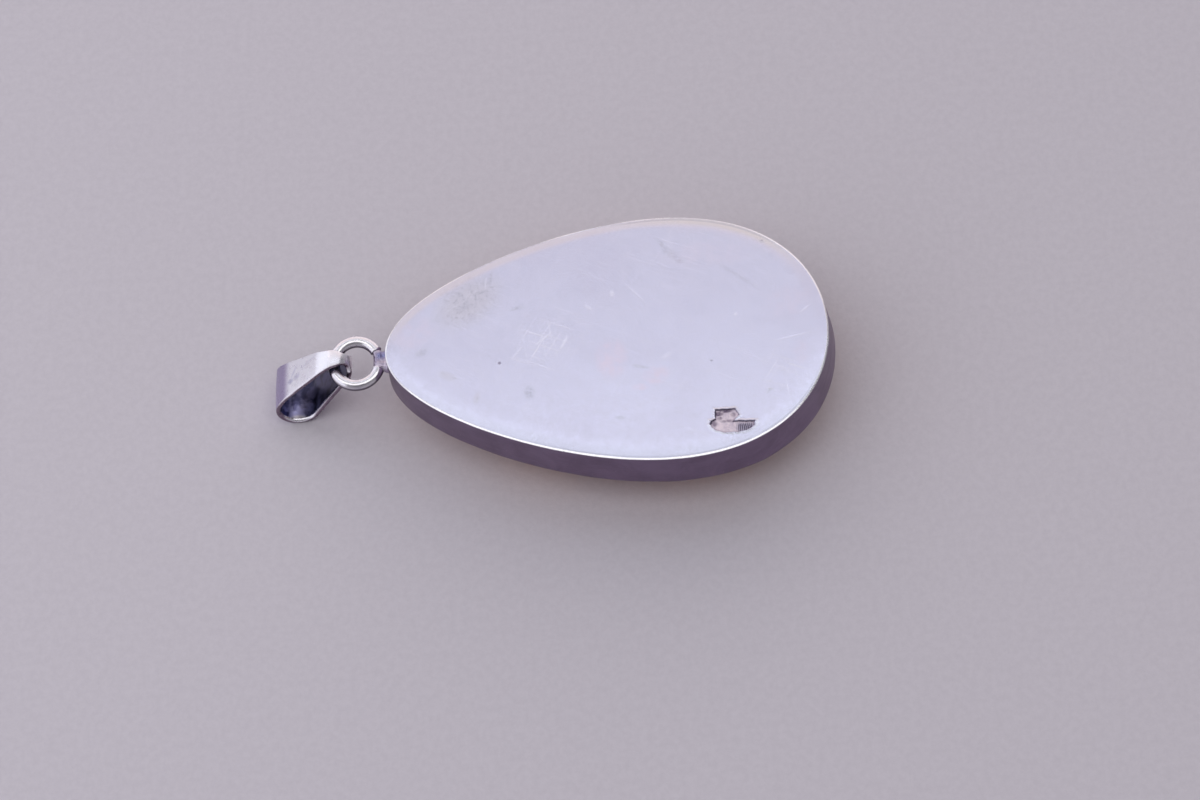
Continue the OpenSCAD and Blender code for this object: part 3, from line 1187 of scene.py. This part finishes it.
def wire_silver():
    """The ring's wire, polished by wear, with painted shade below."""
    f = silver("silver_wire")
    grain = f.noise(scale=2.0)
    dull = f.span(f.noise(scale=0.9, detail=3.0, roughness=0.5), (0.4, 0.7))
    colour = f.mix(dull, WIRE_BRIGHT, WIRE_DULL)
    # Painted shade on the wire's underside
    colour = f.cover(colour, WIRE_UNDER_SHADE, f.span(f.upward(), (0.6, 0.05)), strength=0.95)
    return f.finished(colour, grain, depth=0.004, rough=(0.18, 0.28))


SOLDER_DARK, SOLDER_LIGHT = (0.37, 0.32, 0.42), (0.62, 0.56, 0.66)
SOLDER_BLUE = (0.26, 0.27, 0.48)
SOLDER_BLUE_PATCH = (-18.9, 0.45, 0.5, 0.35, 20, 0.85)


def solder_silver():
    """Solder: duller than the wire, with a lumpy skin and a blue patch."""
    f = silver("silver_solder")
    lumps = f.noise(scale=2.2, detail=3.0, distortion=0.6)
    colour = f.mix(f.span(lumps, NOISE_MIDDLE), SOLDER_DARK, SOLDER_LIGHT)
    colour = f.mix(f.patch(SOLDER_BLUE_PATCH, soft=0.5), colour, SOLDER_BLUE)
    return f.finished(colour, lumps, depth=0.03, rough=(0.25, 0.4))


BAIL_POLISHED, BAIL_SCUFFED = (0.95, 0.95, 1.0), (0.5, 0.5, 0.68)
BAIL_SCUFFS = [
    (-27.0, -0.38, 0.22, 0.2, 0, 0.7),
    (-26.4, -0.25, 0.26, 0.25, 0, 0.5),
    (-26.7, 0.3, 0.5, 0.1, 60, 0.4),
    (-25.2, 0.5, 0.7, 0.08, 20, 0.25),
]
SCUFF_SHARE = 0.5
# The painted mauve reflection of the floor at the chain's end comes on between two places along X
BAIL_MAUVE_REFLECTION = (0.42, 0.36, 0.56)
MAUVE_REFLECTION_COMES = (BAIL_LOW[0] + 1.68, BAIL_LOW[0] + 0.83)


def bail_outside():
    """The bail's polished face, scuffed, with a painted mauve reflection of the floor where it turns
    down.
    """
    f = silver("bail_outside")
    grain = f.noise(scale=1.8, detail=5.0)
    worn = f.noise(scale=1.2, roughness=0.7, place=f.place(stretch=(1, 1, 0.6)))
    worn = f.times(f.span(worn, (0.62, 0.72)), SCUFF_SHARE)
    # Painted reflection of the floor at the chain's end and where the face turns down
    turned = f.larger(f.span(f.along("X"), MAUVE_REFLECTION_COMES), f.span(f.upward(), (0.1, -0.3)))
    scuffed = f.larger(worn, f.patches(BAIL_SCUFFS, soft=0.8))
    colour = f.mix(scuffed, BAIL_POLISHED, BAIL_SCUFFED)
    colour = f.cover(colour, BAIL_MAUVE_REFLECTION, turned, strength=0.92)
    return f.finished(colour, grain, depth=0.004, rough=(0.24, 0.34))


# Brownish mauves of the strap's edge: tarnish, darkened further as a painted reflection of a dark
# floor
EDGE_DARK, EDGE_LIGHT = (0.18, 0.135, 0.18), (0.29, 0.22, 0.28)
EDGE_UP_HIGHLIGHT, EDGE_GLINT = (0.9, 0.88, 0.93), (0.97, 0.95, 1.0)
# The place of a painted glint, on the bail's inner face and its edge
BAIL_GLINT = (-26.85, -1.85, 0.6, 0.35, 0, 1.0)


def bail_edge():
    """The strap's cut edge: brownish tarnish, darkened further as a painted reflection of a dark
    floor, with a painted highlight where it faces up and a painted glint.
    """
    f = silver("bail_edge")
    grain = f.noise(scale=3.0)
    # A painted glint where the edge faces up near the chain
    rubbed = f.times(f.patch(BAIL_GLINT, soft=0.5), f.span(f.upward(), (0.1, 0.4)))
    colour = f.mix(f.span(grain, NOISE_RANGE), EDGE_DARK, EDGE_LIGHT)
    # Painted highlight where the edge faces up
    colour = f.mix(f.span(f.upward(), (0.35, 0.6)), colour, EDGE_UP_HIGHLIGHT)
    colour = f.mix(rubbed, colour, EDGE_GLINT)
    return f.finished(colour, grain, depth=0.008, rough=(0.2, 0.35))


# Darkest and lightest colours of the inner face's mottled tarnish: painted shade high up inside the
# loop, and painted light where it lies low
INSIDE_HIGH_SHADE = ((0.04, 0.04, 0.075), (0.12, 0.115, 0.2))
INSIDE_LOW_LIT = ((0.1, 0.1, 0.22), (0.5, 0.51, 0.8))
INSIDE_GLINT = (0.92, 0.9, 0.95)
# Heights and places across between which the painted light of the low part comes on
LOW_LIT_HEIGHTS = (2.6, 0.7)
LOW_LIT_ACROSS = (0.5, -1.0)


def bail_inside():
    """The strap's inner face: mottled tarnish with painted shade high up, painted light where it lies
    lowest, and a painted glint.
    """
    f = silver("bail_inside")
    mottle = f.noise(scale=1.1, detail=3.0, roughness=0.55, distortion=0.3)
    # Painted light where the inner face lies low and towards the near side
    low = f.times(f.span(f.along("Z"), LOW_LIT_HEIGHTS), f.span(f.along("Y"), LOW_LIT_ACROSS))
    dark = f.mix(f.span(mottle, NOISE_MIDDLE), *INSIDE_HIGH_SHADE)
    light = f.mix(f.span(mottle, (0.35, 0.6)), *INSIDE_LOW_LIT)
    # A painted glint where the inner face lies low near the chain
    rubbed = f.times(low, f.patch(BAIL_GLINT, soft=0.5))
    colour = f.mix(rubbed, f.mix(low, dark, light), INSIDE_GLINT)
    return f.finished(colour, mottle, depth=0.02, rough=(0.28, 0.42))


AMBER_DARK, AMBER_HONEY, AMBER_FLECK = (0.36, 0.085, 0.008), (0.72, 0.27, 0.03), (0.85, 0.48, 0.1)


def amber():
    """Honey-coloured amber with cloudy veils and a polished face."""
    f = Finish("amber", Roughness=0.1, IOR=1.54, Coat_Weight=0.6, Coat_Roughness=0.05)
    leaning = f.place(turn=(0.3, 0.2, 0.5), stretch=(1, 1, 1.6))
    veil = f.noise(scale=0.14, detail=5.0, distortion=1.2, place=leaning)
    flecks = f.noise(scale=0.9, distortion=0.8)
    colour = f.mix(f.span(veil, NOISE_MIDDLE), AMBER_DARK, AMBER_HONEY)
    colour = f.mix(f.span(flecks, (0.62, 0.72)), colour, AMBER_FLECK)
    f.bump(f.noise(scale=0.8, detail=3.0, roughness=0.5), depth=0.004)
    f.set(Base_Color=colour, Subsurface_Weight=0.25, Subsurface_Scale=0.002)
    return f.owner


FLOOR_DARK, FLOOR_LIGHT = (0.62, 0.59, 0.64), (0.66, 0.63, 0.68)


def floor_material():
    f = Finish("floor", Roughness=0.9)
    grain = f.noise(scale=1.6, detail=5.0, roughness=0.7)
    f.bump(grain, depth=0.03)
    f.set(Base_Color=f.mix(f.span(grain, NOISE_RANGE), FLOOR_DARK, FLOOR_LIGHT))
    return f.owner


# Camera, floor and light


# The camera's angles in degrees, and its distance and target in millimetres
AZIMUTH, ELEVATION, ROLL = 8.07, 63.06, 10.36
DISTANCE = 304.85
TARGET = (4.25, -5.6, 8.4)
FOCAL_LENGTH = 111.0
# The nearest and the farthest that the camera sees, in metres
CLIP = (0.01, 20)

# Half the floor's width, in metres
FLOOR_HALF = 2.0

# The room's glow falls from one strength to another between two heights of the sky
ROOM_COLOUR = (0.9, 0.86, 0.95)
SKY_HEIGHTS, ROOM_GLOW = (0.35, 0.8), (0.32, 0.09)

# Soft panels of light, with places and sizes in metres. Most are aimed at the frame's origin
Panel = namedtuple("Panel", "name place size glow tint aim", defaults=[(0, 0, 0)])
PANELS = [
    Panel("above", (0, -0.13, 0.48), (0.8, 0.27), 1.3, (1.0, 0.99, 1.0)),
    Panel("middle", (0, 0.16, 0.55), (0.8, 0.17), 0.84, (0.92, 0.94, 1.0)),
    Panel("behind", (0, 0.29, 0.55), (0.9, 0.13), 0.6, (0.9, 0.885, 1.0)),
    Panel("far", (0, 0.644, 0.364), (1.2, 0.77), 0.76, (1.0, 0.88, 0.87)),
    Panel("left", (-0.22, -0.03, 0.14), (0.5, 0.28), 0.76, (0.9, 0.91, 1.0), (0, -0.03, 0.14)),
]


def camera():
    """The camera, turned to its target and then rolled."""
    around = Matrix.Rotation(radians(AZIMUTH), 4, "Z")
    down = Matrix.Rotation(radians(90 - ELEVATION), 4, "X")
    roll = Matrix.Rotation(radians(-ROLL), 4, "Z")
    away = Matrix.Translation((0, 0, DISTANCE * MM))
    data = bpy.data.cameras.new("camera")
    data.lens = FOCAL_LENGTH
    data.clip_start, data.clip_end = CLIP
    made = make_object("camera", data)
    made.matrix_world = Matrix.Translation(Vector(TARGET) * MM) @ around @ down @ roll @ away
    bpy.context.scene.camera = made


def floor():
    half = FLOOR_HALF
    mesh = bpy.data.meshes.new("floor")
    corners = [(-half, -half, 0), (half, -half, 0), (half, half, 0), (-half, half, 0)]
    mesh.from_pydata(corners, [], [(0, 1, 2, 3)])
    mesh.materials.append(floor_material())
    make_object("floor", mesh)


def softbox(panel):
    """A soft panel of light, turned to the place that it is aimed at."""
    place = Vector(panel.place)
    turn = (place - Vector(panel.aim)).to_track_quat("Z", "Y").to_matrix().to_4x4()
    data = bpy.data.lights.new(panel.name, "AREA")
    data.shape = "RECTANGLE"
    data.size, data.size_y = panel.size
    data.energy = panel.glow * pi * data.size * data.size_y
    data.color = panel.tint
    made = make_object(panel.name, data)
    made.matrix_world = Matrix.Translation(place) @ turn
    made.visible_camera = False


def surroundings():
    """A dim grey room that is lighter near the horizon."""
    room = Nodes(bpy.data.worlds.new("studio"), "Background")
    height = room.add("SeparateXYZ", {0: room.add("TexCoord", {}, "Generated")}, "Z")
    room.set(Color=ROOM_COLOUR, Strength=room.span(height, SKY_HEIGHTS, ROOM_GLOW))
    return room.owner


def lights():
    bpy.context.scene.view_settings.view_transform = "Standard"
    bpy.context.scene.world = surroundings()
    for panel in PANELS:
        softbox(panel)


floor()
lights()
camera()
setting_piece()
amber_piece()
bail_piece()
